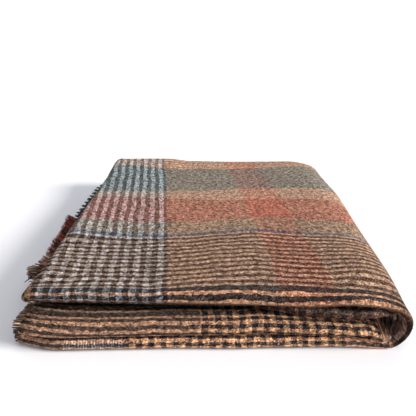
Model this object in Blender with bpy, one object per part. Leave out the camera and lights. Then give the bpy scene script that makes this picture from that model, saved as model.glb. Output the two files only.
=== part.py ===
# A woven wool throw, folded in thirds across and in quarters along, lying flat on a surface.
#
# The cloth is one sheet. Its section from front to back is a strip of three layers: an outer layer, an inner
# layer behind it that ends at a free edge inside the front nose, and a wrapping layer. That strip then runs
# left to right and back four times, one run over another:
#   run 0, the bottom run, starts at a fringed end on the left and turns up round the outside on the right,
#   run 3, the top run, goes back to the left and turns down under itself,
#   run 2 goes right and turns down inside the first turn,
#   run 1 goes left and ends in the other fringed end.
# The front faces -Y, the fringed ends face -X, and the throw rests on z = 0.
import bmesh
import bpy
import numpy as np

MM = 0.001

# The cloth and the strip of three layers
CLOTH = 2.8 * MM
STRIP_FLAT = 13.4 * MM
STRIP_TURN = 9.4 * MM
RUN_GAP = 0.7 * MM

# Front to back, for the top run, with y = 0 at its front nose
NOSE_BASE_Y = 10 * MM
BACK_BASE_Y = 422 * MM
INNER_EDGE_Y = 34 * MM
WRAP_EDGE_Y = 404 * MM
FRONT_REACH = 120 * MM
BACK_REACH = 110 * MM

# How far forward each run's front nose comes and how far back the top run's back nose goes, in mm, along x
NOSE_TABLE = """
    x     run0   run1   run2   run3   back
  -210   -12    -17     24      2     428
  -180   -21    -23     24     -2     428
  -155   -26    -25     24     -2     429
  -110   -23    -22     22     -2     430
   -20   -18    -16     20     -2     433
    35   -17    -14     17     -1     435
    60   -15    -10     12      0     436
   100   -13    -11      2     -1     437
   150   -11    -12     -4     -4     436
   185   -11    -13     -5     -4     432
"""
BACK_SHIFT = {0: -4 * MM, 1: 2 * MM, 2: -6 * MM, 3: 0.0}
TURN_RECESS = 38 * MM
TURN_RECESS_X = (183 * MM, 207 * MM)
TURN_RECESS_SKEW = 9 * MM

# Left to right. A fringed end slants through the strip: its outer layer ends at the first x, its wrap at the second
END_X = {0: (-199.5 * MM, -196.5 * MM), 1: (-189 * MM, -194 * MM)}
LEFT_TURN_X = -181 * MM
LEFT_TURN_HANDLE = 10 * MM
LEFT_STRIP = {2: 9.4 * MM, 3: 12.5 * MM}
LEFT_SQUEEZE = 12 * MM
INNER_LOW_X = 186 * MM
INNER_HIGH_X = 182 * MM
INNER_TURN_HANDLE = 24 * MM
INNER_TURN_Z = (15.2 * MM, 39.5 * MM)
INNER_SPREAD = 14 * MM
OUTER_LOW_X = 195.5 * MM
OUTER_LOW_HANDLE = 14 * MM
OUTER_HIGH_X = 153.5 * MM
OUTER_HIGH_HANDLE = 90 * MM
RIGHT_SQUEEZE = 45 * MM
RIGHT_BULGE = 4.5 * MM
RIGHT_BULGE_Y = (10 * MM, 80 * MM)
RIGHT_CORNER = 11 * MM
RIGHT_CORNER_Y = (280 * MM, 415 * MM)

# The stack of runs over each other near the front, left and right
SECOND_NOSE = (19 * MM, 15.5 * MM)
THIRD_NOSE = (9.2 * MM, 12.5 * MM)
PUFF_REACH = 60 * MM
SIDE_BLEND_X = (30 * MM, 110 * MM)
FRONT_LIFT = (3.3 * MM, 1.0 * MM)
RIGHT_LIFT = 2.5 * MM
RIGHT_LIFT_X = (90 * MM, 160 * MM)
RIGHT_LIFT_Y = (60 * MM, 220 * MM)
TOP_WAVE = 1.1 * MM

# The fringed ends: a narrow strip of cloth with locks of yarn that stand out of it
PART_GAP = 0.4 * MM
HEADING_WIDTH = 5 * MM
LOCK_TIP_X = {1: -229 * MM, 0: -224 * MM}
LOCK_WIDTH = 3.4 * MM
LOCK_PITCH = {1: 10.4 * MM, 0: 13.0 * MM}
LOCK_RINGS = {1: (0.5, 1.0), 0: (1.0,)}
LOCK_DROOP = {1: 7 * MM, 0: 0.77 * MM}
LOCK_FLOOR = {1: STRIP_FLAT + RUN_GAP, 0: 0.0}
TIP_THICK = 0.45
TIP_WIDTH = 0.35
WORN_SHARE = 0.12
WORN_FRONT_Y = (62 * MM, 84 * MM)
WORN_BACK_Y = (335 * MM, 365 * MM)

# How many faces the cloth gets along each stretch
PATH_STEPS = {"run0": 5, "outer": 12, "run3": 8, "left": 7, "run2": 6, "inner": 8, "run1": 7}
SECTION_STEPS = {"inner_layer": 3, "back_nose": 5, "outer_layer": 8, "front_nose": 8, "wrap": 4}
DENSE_END = 1.7


def mix(a, b, share):
    return a + (b - a) * share


def smooth(low, high, value):
    t = np.clip((value - low) / (high - low), 0, 1)
    return t * t * (3 - 2 * t)


def nose_line(column, x):
    """A column of the nose table at x, in metres."""
    names, *rows = [line.split() for line in NOSE_TABLE.strip().splitlines()]
    table = np.array(rows, float) * MM
    return np.interp(x, table[:, 0], table[:, names.index(column)])


def stack(x, y):
    """The middle height and the thickness of each run's strip over the point x, y."""
    right = smooth(*SIDE_BLEND_X, x)
    near = 1 - smooth(0, PUFF_REACH, y)
    thick = {0: STRIP_FLAT + 0 * x * y}
    thick[1] = mix(STRIP_FLAT, mix(*SECOND_NOSE, right), near)
    thick[2] = mix(STRIP_FLAT, mix(*THIRD_NOSE, right), near)
    low = {0: 0 * thick[0]}
    for run in (1, 2, 3):
        low[run] = low[run - 1] + thick[run - 1] + RUN_GAP
    lift = mix(*FRONT_LIFT, right) * near
    lift = lift + RIGHT_LIFT * smooth(*RIGHT_LIFT_X, x) * (1 - smooth(*RIGHT_LIFT_Y, y))
    wave = np.sin(x * 21 + y * 9) + 0.7 * np.sin(y * 27 - x * 11 + 1)
    thick[3] = 3 * (STRIP_FLAT + RUN_GAP) + STRIP_FLAT + lift + TOP_WAVE * wave * (1 - near) - low[3]
    return low, thick


def section(part, share):
    """Front to back along the section: y for the top run, the side of the strip, and how far round a nose."""
    turn = np.pi * share
    none = 0 * share
    if part == "inner_layer":
        return mix(INNER_EDGE_Y, BACK_BASE_Y, share), none, none
    if part == "back_nose":
        return none + BACK_BASE_Y, (1 - np.cos(turn)) / 2, -np.sin(turn) / 2
    if part == "outer_layer":
        return mix(BACK_BASE_Y, NOSE_BASE_Y, share), none + 1, none
    if part == "front_nose":
        return none + NOSE_BASE_Y, np.cos(turn), np.sin(turn)
    return mix(NOSE_BASE_Y, WRAP_EDGE_Y, share), none - 1, none


def nose_y(run, x, side):
    recess = TURN_RECESS * smooth(*TURN_RECESS_X, x + TURN_RECESS_SKEW * side) if run in (1, 2) else 0
    return nose_line(f"run{run}", x) + recess


def back_y(run, x):
    return nose_line("back", x) + BACK_SHIFT[run]


def lay(y, side, nose, front, back, thick):
    """y and the distance from the strip's middle of a point of the section, for a strip of this thickness."""
    reach = (thick - CLOTH) / 2
    depth = 0.9 * reach + 0.5 * MM
    forward = front + depth + CLOTH / 2 - NOSE_BASE_Y
    backward = back - depth - CLOTH / 2 - BACK_BASE_Y
    at = y + forward * (1 - smooth(0, FRONT_REACH, y))
    at = at + backward * smooth(BACK_BASE_Y - BACK_REACH, BACK_BASE_Y, y)
    return at - nose * depth, side * reach


def curve(start, start_handle, end, end_handle, share):
    """A turn's line in x and z, and its direction, as a cubic with level ends."""
    (x0, z0), (x3, z3) = start, end
    s, r = share, 1 - share
    points = ((x0, z0), (x0 + start_handle, z0), (x3 + end_handle, z3), (x3, z3))
    weights = (r**3, 3 * r * r * s, 3 * r * s * s, s**3)
    at = [sum(w * p[k] for w, p in zip(weights, points)) for k in (0, 1)]
    slopes = (3 * r * r, 6 * r * s, 3 * s * s)
    along = [sum(w * (q[k] - p[k]) for w, p, q in zip(slopes, points, points[1:])) for k in (0, 1)]
    return at[0], at[1], along[0], along[1]


def right_shift(y):
    return RIGHT_BULGE * smooth(*RIGHT_BULGE_Y, y) - RIGHT_CORNER * smooth(*RIGHT_CORNER_Y, y)


def end_x(run, side):
    return mix(*END_X[run], (1 - side) / 2)


def run_ends(run, y, side):
    """Where a run starts and ends, in the order in which the cloth goes."""
    right = right_shift(y)
    return {
        0: (end_x(0, side), OUTER_LOW_X + right),
        3: (OUTER_HIGH_X + right, LEFT_TURN_X),
        2: (LEFT_TURN_X, INNER_HIGH_X + right),
        1: (INNER_LOW_X + right, end_x(1, side)),
    }[run]


def run_strip(run, x, y):
    """The middle height and thickness of a run's strip, pressed thin towards its turns."""
    low, thick = stack(x, y)
    strip = thick[run]
    if run in (2, 3):
        strip = mix(LEFT_STRIP[run], strip, smooth(0, LEFT_SQUEEZE, x - LEFT_TURN_X))
    right = {0: OUTER_LOW_X, 1: INNER_LOW_X, 2: INNER_HIGH_X, 3: OUTER_HIGH_X}[run] + right_shift(y)
    strip = mix(STRIP_TURN, strip, smooth(0, RIGHT_SQUEEZE, right - x))
    keeps = {0: 0.0, 1: 0.5, 2: 0.5, 3: 1.0}[run]
    height = mix(low[run] + strip / 2, low[run] + thick[run] - strip / 2, keeps)
    if run in (1, 2):
        height = mix(INNER_TURN_Z[run - 1], height, smooth(0, INNER_SPREAD, right - x))
    return height, strip


def in_run(run, share, y, side, nose):
    start, end = run_ends(run, y, side)
    return at_x(run, mix(start, end, share), y, side, nose)


def at_x(run, x, y, side, nose):
    height, strip = run_strip(run, x, y)
    out_y, off = lay(y, side, nose, nose_y(run, x, side), back_y(run, x), strip)
    up = 1 if run in (1, 3) else -1
    return np.stack([x + 0 * out_y, out_y, height + up * off], -1)


def in_turn(first, second, start_handle, end_handle, share, y, side, nose):
    """A point of the turn from the end of one run to the start of the next."""
    x0 = run_ends(first, y, side)[1]
    x1 = run_ends(second, y, side)[0]
    z0, thick0 = run_strip(first, x0, y)
    z1, thick1 = run_strip(second, x1, y)
    px, pz, dx, dz = curve((x0, z0), start_handle, (x1, z1), end_handle, share)
    ease = smooth(0.4 if first == 3 else 0, 1, share)
    front = mix(nose_y(first, px, side), nose_y(second, px, side), ease)
    back = mix(back_y(first, px), back_y(second, px), ease)
    out_y, off = lay(y, side, nose, front, back, mix(thick0, thick1, ease))
    size = np.hypot(dx, dz)
    return np.stack([px + off * dz / size, out_y, pz - off * dx / size], -1)


def along_path(part, share, y, side, nose):
    if part == "outer":
        return in_turn(0, 3, OUTER_LOW_HANDLE, OUTER_HIGH_HANDLE, share, y, side, nose)
    if part == "left":
        return in_turn(3, 2, -LEFT_TURN_HANDLE, -LEFT_TURN_HANDLE, share, y, side, nose)
    if part == "inner":
        return in_turn(2, 1, INNER_TURN_HANDLE, INNER_TURN_HANDLE, share, y, side, nose)
    return in_run(int(part[3:]), share, y, side, nose)


def stations(steps, dense):
    """(part, share) for each line of points. dense gives where a part's lines crowd: at its end, start or both."""
    found = []
    for part, count in steps.items():
        shares = np.arange(count) / count
        crowd = dense.get(part)
        if crowd == "end":
            shares = 1 - (1 - shares) ** DENSE_END
        elif crowd == "start":
            shares = shares**DENSE_END
        elif crowd == "both":
            shares = smooth(0, 1, shares)
        found += [(part, share) for share in shares]
    return found + [(list(steps)[-1], 1.0)]


def centre_lines(path, across):
    """The cloth's middle surface, as an array of points by path station and section station."""
    rows = []
    for part, share in path:
        row = []
        for piece, piece_share in across:
            y, side, nose = section(piece, np.array(piece_share))
            row.append(along_path(part, np.array(share), y, side, nose))
        rows.append(row)
    return np.array(rows)


def closed_sheet(name, middle, thick):
    """A sheet of even thickness about a grid of points, closed round its edge."""
    along = np.gradient(middle, axis=0)
    across = np.gradient(middle, axis=1)
    normal = np.cross(along, across)
    normal /= np.linalg.norm(normal, axis=-1, keepdims=True)
    mesh = bmesh.new()
    skins = []
    for side in (1, -1):
        points = middle + side * thick / 2 * normal
        points[..., 2] = np.maximum(points[..., 2], 0)
        skins.append([[mesh.verts.new(p) for p in row] for row in points])
    rows, columns = len(middle), len(middle[0])
    for skin in skins:
        for i in range(rows - 1):
            for j in range(columns - 1):
                mesh.faces.new((skin[i][j], skin[i + 1][j], skin[i + 1][j + 1], skin[i][j + 1]))
    rim = [(i, 0) for i in range(rows)] + [(rows - 1, j) for j in range(1, columns)]
    rim += [(i, columns - 1) for i in range(rows - 2, -1, -1)] + [(0, j) for j in range(columns - 2, 0, -1)]
    for (i, j), (k, m) in zip(rim, rim[1:] + rim[:1]):
        mesh.faces.new((skins[0][i][j], skins[0][k][m], skins[1][k][m], skins[1][i][j]))
    return finished(name, mesh)


def finished(name, mesh):
    """The closed mesh as an object, with its faces pointing out."""
    bmesh.ops.recalc_face_normals(mesh, faces=mesh.faces)
    data = bpy.data.meshes.new(name)
    mesh.to_mesh(data)
    mesh.free()
    data.shade_smooth()
    data.set_sharp_from_angle(angle=np.radians(50))
    made = bpy.data.objects.new(name, data)
    bpy.context.scene.collection.objects.link(made)
    return made


def section_lengths(run):
    """The section's points at a run's fringed end, close together, and the length along it to each."""
    across = stations({part: 60 for part in SECTION_STEPS}, {})
    line = []
    for part, share in across:
        y, side, nose = section(part, np.array(share))
        line.append(at_x(run, end_x(run, side), y, side, nose))
    line = np.array(line)
    steps = np.linalg.norm(np.diff(line, axis=0), axis=1)
    return line, np.concatenate([[0], np.cumsum(steps)])


def lock_length(run, root):
    """How far a lock reaches beyond the heading, by its place."""
    whole = root[0] - PART_GAP - HEADING_WIDTH - LOCK_TIP_X[run]
    kept = smooth(*WORN_FRONT_Y, root[1]) * (1 - smooth(*WORN_BACK_Y, root[1]))
    return whole * mix(WORN_SHARE, 1, kept)


def fringed_end(name, run):
    """The heading strip beyond a cut end, with its locks standing out of it towards -X."""
    line, lengths = section_lengths(run)
    pitch = LOCK_PITCH[run]
    count = int((lengths[-1] - LOCK_WIDTH) // pitch)
    first = (lengths[-1] - count * pitch - LOCK_WIDTH) / 2
    edges = [first + pitch * i + part for i in range(count + 1) for part in (0, LOCK_WIDTH)]
    at = np.array([0.0] + edges + [lengths[-1]])
    spots = np.stack([np.interp(at, lengths, line[:, k]) for k in range(3)], -1)
    slope = np.gradient(spots, axis=0)
    normal = np.cross((1, 0, 0), slope)
    normal /= np.linalg.norm(normal, axis=-1, keepdims=True)
    mesh = bmesh.new()

    def ring(i, back, thick, drop=0.0, narrow=1.0, middle=None):
        """Two points of the strip at one place along the section, one over the other."""
        spot = spots[i] if middle is None else middle + (spots[i] - middle) * narrow
        made = []
        for side in (1, -1):
            p = spot + side * thick / 2 * normal[i]
            made.append(mesh.verts.new((p[0] - back, p[1], max(p[2] - drop, 0))))
        return made

    inner = [ring(i, PART_GAP, CLOTH) for i in range(len(at))]
    outer = [ring(i, PART_GAP + HEADING_WIDTH, CLOTH) for i in range(len(at))]
    for i in range(len(at) - 1):
        for side in (0, 1):
            mesh.faces.new((inner[i][side], inner[i + 1][side], outer[i + 1][side], outer[i][side]))
        mesh.faces.new((inner[i][0], inner[i + 1][0], inner[i + 1][1], inner[i][1]))
        if i % 2 == 0:
            mesh.faces.new((outer[i][0], outer[i + 1][0], outer[i + 1][1], outer[i][1]))
    for i in (0, len(at) - 1):
        mesh.faces.new((inner[i][0], outer[i][0], outer[i][1], inner[i][1]))
    for i in range(1, len(at) - 1, 2):
        middle = (spots[i] + spots[i + 1]) / 2
        room = max(middle[2] - LOCK_FLOOR[run] - CLOTH / 2, 0) if run else LOCK_DROOP[run]
        length = lock_length(run, middle) * (1 + 0.1 * np.sin(2.3 * i))
        below = [outer[i], outer[i + 1]]
        for share in LOCK_RINGS[run]:
            back = PART_GAP + HEADING_WIDTH + length * share
            drop = min(LOCK_DROOP[run], room) * share * share
            thick = mix(1, TIP_THICK, share) * CLOTH
            narrow = mix(1, TIP_WIDTH, share)
            tip = [ring(j, back, thick, drop, narrow, middle) for j in (i, i + 1)]
            for a, b in (((0, 0), (1, 0)), ((1, 0), (1, 1)), ((1, 1), (0, 1)), ((0, 1), (0, 0))):
                mesh.faces.new((below[a[0]][a[1]], below[b[0]][b[1]], tip[b[0]][b[1]], tip[a[0]][a[1]]))
            below = tip
        mesh.faces.new((below[0][0], below[1][0], below[1][1], below[0][1]))
    return finished(name, mesh)


def finish(name, color, roughness):
    made = bpy.data.materials.new(name)
    made.use_nodes = True
    shader = made.node_tree.nodes["Principled BSDF"]
    shader.inputs["Base Color"].default_value = (*color, 1)
    shader.inputs["Roughness"].default_value = roughness
    shader.inputs["Metallic"].default_value = 0
    return made


def centred(pieces):
    """Moves the pieces so that the middle of their box is over the origin."""
    low = np.min([np.min([v.co for v in o.data.vertices], 0) for o in pieces], 0)
    high = np.max([np.max([v.co for v in o.data.vertices], 0) for o in pieces], 0)
    middle = (low + high) / 2
    for piece in pieces:
        piece.location = (-middle[0], -middle[1], 0)


def build():
    for old in list(bpy.data.objects):
        bpy.data.objects.remove(old)
    path = stations(
        PATH_STEPS, {"run0": "end", "run3": "both", "run2": "both", "run1": "start"}
    )
    across = stations(SECTION_STEPS, {"outer_layer": "end", "wrap": "start"})
    cloth = closed_sheet("folded_cloth", centre_lines(path, across), CLOTH)
    upper = fringed_end("upper_end_fringe", 1)
    lower = fringed_end("lower_end_fringe", 0)
    cloth.data.materials.append(finish("plaid_wool", (0.36, 0.24, 0.17), 0.95))
    for fringe in (upper, lower):
        fringe.data.materials.append(finish("fringe_wool_" + fringe.name, (0.16, 0.07, 0.05), 0.95))
    centred([cloth, upper, lower])


build()
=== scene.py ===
import bmesh
import bpy
import numpy as np
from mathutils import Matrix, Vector


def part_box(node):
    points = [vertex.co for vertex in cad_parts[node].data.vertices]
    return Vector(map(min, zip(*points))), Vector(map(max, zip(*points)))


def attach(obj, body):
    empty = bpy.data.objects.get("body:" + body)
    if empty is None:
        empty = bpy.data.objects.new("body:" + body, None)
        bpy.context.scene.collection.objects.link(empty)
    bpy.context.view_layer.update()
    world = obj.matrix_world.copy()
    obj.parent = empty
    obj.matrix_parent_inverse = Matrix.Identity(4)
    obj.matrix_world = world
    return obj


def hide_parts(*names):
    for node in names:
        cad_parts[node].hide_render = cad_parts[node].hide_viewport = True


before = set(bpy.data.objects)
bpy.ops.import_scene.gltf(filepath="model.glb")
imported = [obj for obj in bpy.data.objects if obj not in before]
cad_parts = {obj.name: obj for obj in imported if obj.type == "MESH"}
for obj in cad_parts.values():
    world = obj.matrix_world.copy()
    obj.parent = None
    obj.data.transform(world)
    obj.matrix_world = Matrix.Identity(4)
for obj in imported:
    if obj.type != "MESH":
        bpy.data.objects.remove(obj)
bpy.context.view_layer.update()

MM = 0.001

# The folded strip, in the same sizes as its solid. It is three layers thick and lies in four runs, numbered
# from the floor up: the cloth goes through run 0, 3, 2 and 1, with a turn between each and the next
CLOTH = 2.8 * MM
STRIP_FLAT = 13.4 * MM
STRIP_TURN = 9.4 * MM
RUN_GAP = 0.7 * MM
NOSE_BASE_Y = 10 * MM
BACK_BASE_Y = 422 * MM
INNER_EDGE_Y = 34 * MM
WRAP_EDGE_Y = 404 * MM
FRONT_REACH = 120 * MM
BACK_REACH = 110 * MM
# The y of each run's front nose and of the back, in mm by x
NOSE_TABLE = """
    x     run0   run1   run2   run3   back
  -210   -12    -17     24      2     428
  -180   -21    -23     24     -2     428
  -155   -26    -25     24     -2     429
  -110   -23    -22     22     -2     430
   -20   -18    -16     20     -2     433
    35   -17    -14     17     -1     435
    60   -15    -10     12      0     436
   100   -13    -11      2     -1     437
   150   -11    -12     -4     -4     436
   185   -11    -13     -5     -4     432
"""
# How far the back of each run lies from that, and how far back the middle runs' noses draw near their right turn
BACK_SHIFT = {0: -4 * MM, 1: 2 * MM, 2: -6 * MM, 3: 0.0}
FARTHEST_BACK = 439 * MM
TURN_RECESS = 38 * MM
TURN_RECESS_X = (183 * MM, 207 * MM)
TURN_RECESS_SKEW = 9 * MM
# The cut ends, at the outer layer and at the wrapped one. Then the turns: where each starts, how far its curve
# reaches, how thick its strips are there, and from how far off they are pressed thin
END_X = {0: (-199.5 * MM, -196.5 * MM), 1: (-189 * MM, -194 * MM)}
LEFT_TURN_X = -181 * MM
LEFT_TURN_HANDLE = 10 * MM
LEFT_STRIP = {2: 9.4 * MM, 3: 12.5 * MM}
LEFT_SQUEEZE = 12 * MM
INNER_LOW_X = 186 * MM
INNER_HIGH_X = 182 * MM
INNER_TURN_HANDLE = 24 * MM
INNER_TURN_Z = (15.2 * MM, 39.5 * MM)
INNER_SPREAD = 14 * MM
OUTER_LOW_X = 195.5 * MM
OUTER_LOW_HANDLE = 14 * MM
OUTER_HIGH_X = 153.5 * MM
OUTER_HIGH_HANDLE = 90 * MM
RIGHT_SQUEEZE = 45 * MM
RIGHT_BULGE = 4.5 * MM
RIGHT_BULGE_Y = (10 * MM, 80 * MM)
RIGHT_CORNER = 11 * MM
RIGHT_CORNER_Y = (280 * MM, 415 * MM)
# From where in a turn the first run's noses and thickness give way to the next one's
TURN_EASE_START = {0: 0, 3: 0.4, 2: 0}
# Where a strip keeps its height as it is pressed: 0 at its lower face, 1 at its upper one
PRESSED_TO = {0: 0.0, 1: 0.5, 2: 0.5, 3: 1.0}
# How thick runs 1 and 2 are along the front, on the left and on the right, and how far out noses stand
SECOND_NOSE = (19 * MM, 15.5 * MM)
THIRD_NOSE = (9.2 * MM, 12.5 * MM)
NOSE_DEPTH = 0.9
NOSE_EXTRA = 0.5 * MM
# The top layer's height: its lift along the front, on the left and on the right, a lift at the front right, and
# soft swells behind: their height beside the first, what x and y add to their angle, and where they start
PUFF_REACH = 60 * MM
SIDE_BLEND_X = (30 * MM, 110 * MM)
FRONT_LIFT = (3.3 * MM, 1.0 * MM)
RIGHT_LIFT = 2.5 * MM
RIGHT_LIFT_X = (90 * MM, 160 * MM)
RIGHT_LIFT_Y = (60 * MM, 220 * MM)
TOP_WAVE = 1.1 * MM
TOP_SWELLS = ((1, 21, 9, 0), (0.7, -11, 27, 1))
# The back left corner lies a little higher
BACK_PUFF = 4.5 * MM
BACK_PUFF_X = (-85 * MM, -45 * MM)
BACK_PUFF_Y = (340 * MM, 415 * MM)

# How finely the sheet is cut along each stretch
PATH_STEPS = {"run0": 30, "outer": 40, "run3": 84, "left": 16, "run2": 18, "inner": 20, "run1": 30}
SECTION_STEPS = {"inner_layer": 6, "back_nose": 10, "outer_layer": 96, "front_nose": 34, "wrap": 16}
DENSE_END = 1.35
END_STEPS = 60

# Nothing thin goes lower than this
FLOOR_CLEAR = 0.1 * MM

# The brushed face's loose fibres: how deep they start in the cloth, how steeply they rise, and how thickly
# they stand on each stretch of the path
NAP_SEED = 8
NAP_COUNT = 45000
NAP_LENGTH = (1.5 * MM, 4.2 * MM)
NAP_RADIUS = 0.14 * MM
NAP_ROOT = 0.2 * MM
NAP_RISE = (0.15, 0.8)
NAP_LEAST_RISE = 0.15
# A line of points on the top run, which shows the side that is out
NAP_TOP_LINE = 10
NAP_PLACES = {"run3": 1.0, "outer": 0.8, "left": 1.0, "run1": 0.25, "run0": 0.25}

# The yarns of the fringes, at the ends of run 1 and run 0. A yarn starts in the cloth, tapers, and may lean
# towards the middle of its bunch over a stretch of its length
YARN_SEED = {1: 3, 0: 4}
YARN_PITCH = {1: 0.8 * MM, 0: 0.6 * MM}
YARN_FLOOR = {1: STRIP_FLAT + RUN_GAP, 0: 0.0}
YARN_RADIUS = 0.65 * MM
YARN_SIDES = 5
YARN_RINGS = 7
YARN_ROOT = 2.5 * MM
YARN_TAPER = 0.4
YARN_CURL = 0.15
YARN_SWEEP_POWER = 1.6
YARN_BEND = (1.2, 0.8)
# No yarn runs this way
YARN_NEVER = (0.02, 0.03, 1.0)
BUNCH_PITCH = 13 * MM
BUNCH_REACH = (0.15, 0.6)
# How yarns differ: place as a share of the pitch, height, reach, bend, thickness and tone
PLACE_SPREAD = 0.3
HEIGHT_SPREAD = 0.7 * MM
REACH_SPREAD = 0.035
BEND_SPREAD = 0.8 * MM
YARN_SIZES = (0.75, 1.2)
YARN_TONES = (0.8, 1.18)
# Where along a yarn its root's dye turns into its tip's, and how many yarns have the table's third dye
TIP_DYE = (0.6, 0.9)
STRAY_SHARE = 0.22
# By the y at which a yarn leaves the cloth, in mm: the x of its tip, how far it is swept back, how far it
# rises, and how closely it is bunched with its neighbours
UPPER_FRINGE = """
    y    tip_x  sweep  rise  bunch
   -30   -198     0     0     0
    58   -198     1     0     0
    72   -214     2    -1     0.2
    80   -229     3    -1     0.5
    88   -231     5     0     0.4
    94   -222     9     0     0
   112   -220    14     0     0
   124   -222    26     1     0
   160   -223    27     1     0
   190   -226    27     1     0
   212   -229    27     1     0
   220   -214    10     0     0.7
   232   -218    10     0     0.8
   340   -215    10     1     0.8
   372   -208     6     0     0.5
   400   -203     2     0     0
   440   -200     0     0     0
"""
LOWER_FRINGE = """
    y    tip_x  sweep  rise  bunch
   -30   -202     1     0     0
    62   -202     2     0     0
    92   -220     6     0     0.3
   335   -222     8     0     0.3
   365   -208     4     0     0
   440   -204     0     0     0
"""
# From each y on, in mm: the dyes of a yarn's root and tip, and that of the odd stray yarn
UPPER_DYES = """
    y    root     tip      stray
   -40   khaki    khaki    ginger
    62   earth    hemp     umber
    92   clay     clay     hemp
   116   maroon   maroon   umber
   216   pine     pine     ink
   365   earth    earth    hemp
"""
LOWER_DYES = """
    y    root     tip      stray
   -40   khaki    khaki    ginger
    70   earth    earth    umber
   220   pine     pine     ink
   365   khaki    khaki    hemp
"""
# A loose dark yarn at the front of the upper fringe: from, to and half its thickness, in mm, and its dye
LOOSE_YARN = ((-206, 92, 25.5), (-225, 67, 21), 1.0, "pitch")
LOOSE_BOW = 1.5 * MM
LOOSE_TAPER = 0.6

# The camera, in the folded strip's own sizes
CAMERA_PLACE = (15 * MM, -331 * MM, 320 * MM)
CAMERA_PITCH = 25.9
CAMERA_YAW = 1.8
FILM_WIDTH = 36
FOCAL_PIXELS = 400
PICTURE_PIXELS = 416

# The room: a soft window low on the right, and white all round
SUN_STRENGTH = 5.3
SUN_SPREAD = 21
SUN_FROM = (0.92, -0.10, 0.385)
SUN_COLOR = (1.0, 0.99, 0.975)
ROOM_STRENGTH = 0.585
ROOM_COLOR = (0.90, 0.91, 1.0, 1)
FLOOR_SIZE = 40
FLOOR_COLOR = (0.92, 0.92, 0.92, 1)
FLOOR_ROUGHNESS = 0.9
FLOOR_SHINE = 0.1
WALL_COLOR = (0.9, 0.9, 0.9, 1)
WALL_GLOW = 0.6

# The weave: how wide a thread lies, in mm, and how many make a stripe or a check. A place on the flat cloth is
# p, along it to the left from the edge of the top layer's check, and q, back from the front nose
THREAD = 0.79
STRIPE_THREADS = 12
CHECK_THREADS = 18
CHECK_START = 3
# The fine check on the lowest layer, where it lies in mm along the cloth
FINE_CHECK = (-647, -578)
FINE_CHECK_THREADS = 4
WEFT_SLANT = 0.134
CHECK_EDGE_X = -35.7 * MM
ALIGN_Y = 125 * MM
ALIGN_Q = 127 * MM
ALIGN_STATION = 19

# How far back the bands of the top layer lie from even, in mm, by the line's place and x
WAVES = """
  line   -180  -140  -100   -60   -20    20    60   100   140   180
   -15     60    60    60    60    60    60    60    60    60    60
    -3     60    60    60    60    60    60    60    60    60    60
    -1     -3    -3    -3    -3    -1     0     0     0     0     0
     8    -10    -7    -6    -6    -2     0     0     0     0     0
    18    -19   -13   -12   -12    -5     0     2     4    -2    -4
    57     -7   -10    -9    -8    -5     2     7     2     0     7
   105    -14   -14   -14   -10    -7     2     6     2    -1     2
   142      0    -4   -10   -11    -8    -1     8     3     0    -2
   176      3    -2   -10    -6    -6     2    11    16     6     8
   242     28    22     9     4     2     2     7    13    16    14
   285     -7    -8   -12   -10    -8     1     9    10    14    13
   386      3     4    -9    -9    -1     2     8    11    17    30
   440      3     4    -4    -4    -1     2     4     8    10    20
"""
# On the lower runs, how far the pattern is pushed along, and the line of the pattern on the nose, in mm,
# how far that line drops at the left end of run 1, and how closely the lines are pressed there
RUN_PUSH = {0: -3.7, 1: 6.8, 2: 0}
# Run 2's nose takes the dark bands of the under side, which also stand in for the shade it lies in under the top
# run
NOSE_LINE = {0: -2.0, 1: -11.5, 2: -85}
RIM_LINE = -85
END_DROP = -6.5 * MM
END_DROP_X = (-200 * MM, -100 * MM)
NOSE_PRESS = {"run0": 1.5, "run1": 1.3}
PRESS_REACH = 22 * MM
# The lower runs' cloth is drawn together along its length too: the place that stays, in mm, and by how much
ALONG_PRESS = {"run0": (-647, 1.08), "run1": (776, 1.08)}
# A line of points that is pushed along by more than this, in mm, lies on run 1 or just before it
RUN_1_PUSH = 6
# Over which share of the turns beside it the top run's pattern fades in or out
TOP_FADE = {"outer": (0.3, 0.45), "left": (0.8, 1.0)}
# Over which share of a turn the line of the pattern on the nose changes
LINE_CHANGE = {"outer": (0.0, 0.2), "inner": (0.9, 1)}

# Painted shade on the wool's colour, for the light that the folds keep out: 1 for the most, and below 0 for
# painted light that makes it paler. In turn: whole layers, the rim and the inside of the right turn, run 1's
# face behind its nose, the slit above run 1 (a painted shadow), and the top run's nose
LAYER_SHADES = {"run0": -0.25, "run2": -0.15, "inner": -0.7}
TURN_RIM_SHADE = 0.65
TURN_RIM_START = (0.0, 0.2)
TURN_RIM_END = (0.6, 0.95)
TURN_RIM_Y = (5 * MM, 60 * MM)
TURN_INSIDE_SHADE = -0.85
RUN_1_SHADE = -0.6
RUN_1_SHADE_Y = (-4 * MM, 8 * MM)
SLIT_SHADE = 1.2
SLIT_START_Y = (7 * MM, 14 * MM)
SLIT_END_Y = (60 * MM, 100 * MM)
SLIT_END_X = (40 * MM, 110 * MM)
TOP_NOSE_SHADE = 0.16
TOP_NOSE_Y = (2 * MM, 12 * MM)
# The side of a strip below which a point lies on its inner face
INSIDE_FACE = -0.6


def mix(a, b, share):
    """From a, where share is 0, to b, where it is 1."""
    return a + (b - a) * share


def smooth(low, high, value):
    """0 at low and below, 1 at high and above, smooth between."""
    t = np.clip((value - low) / (high - low), 0, 1)
    return t * t * (3 - 2 * t)


def table_rows(text):
    """The column names and the numbers of a table."""
    names, *rows = [line.split() for line in text.strip().splitlines()]
    return names, np.array(rows, float)


def table_words(text):
    """The rows of a table, as words."""
    return [line.split() for line in text.strip().splitlines()[1:]]


NOSE_NAMES, NOSE_ROWS = table_rows(NOSE_TABLE)


def nose_line(column, x):
    """A column of the nose table at x, in metres."""
    return np.interp(x, NOSE_ROWS[:, 0] * MM, NOSE_ROWS[:, NOSE_NAMES.index(column)] * MM)


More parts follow.
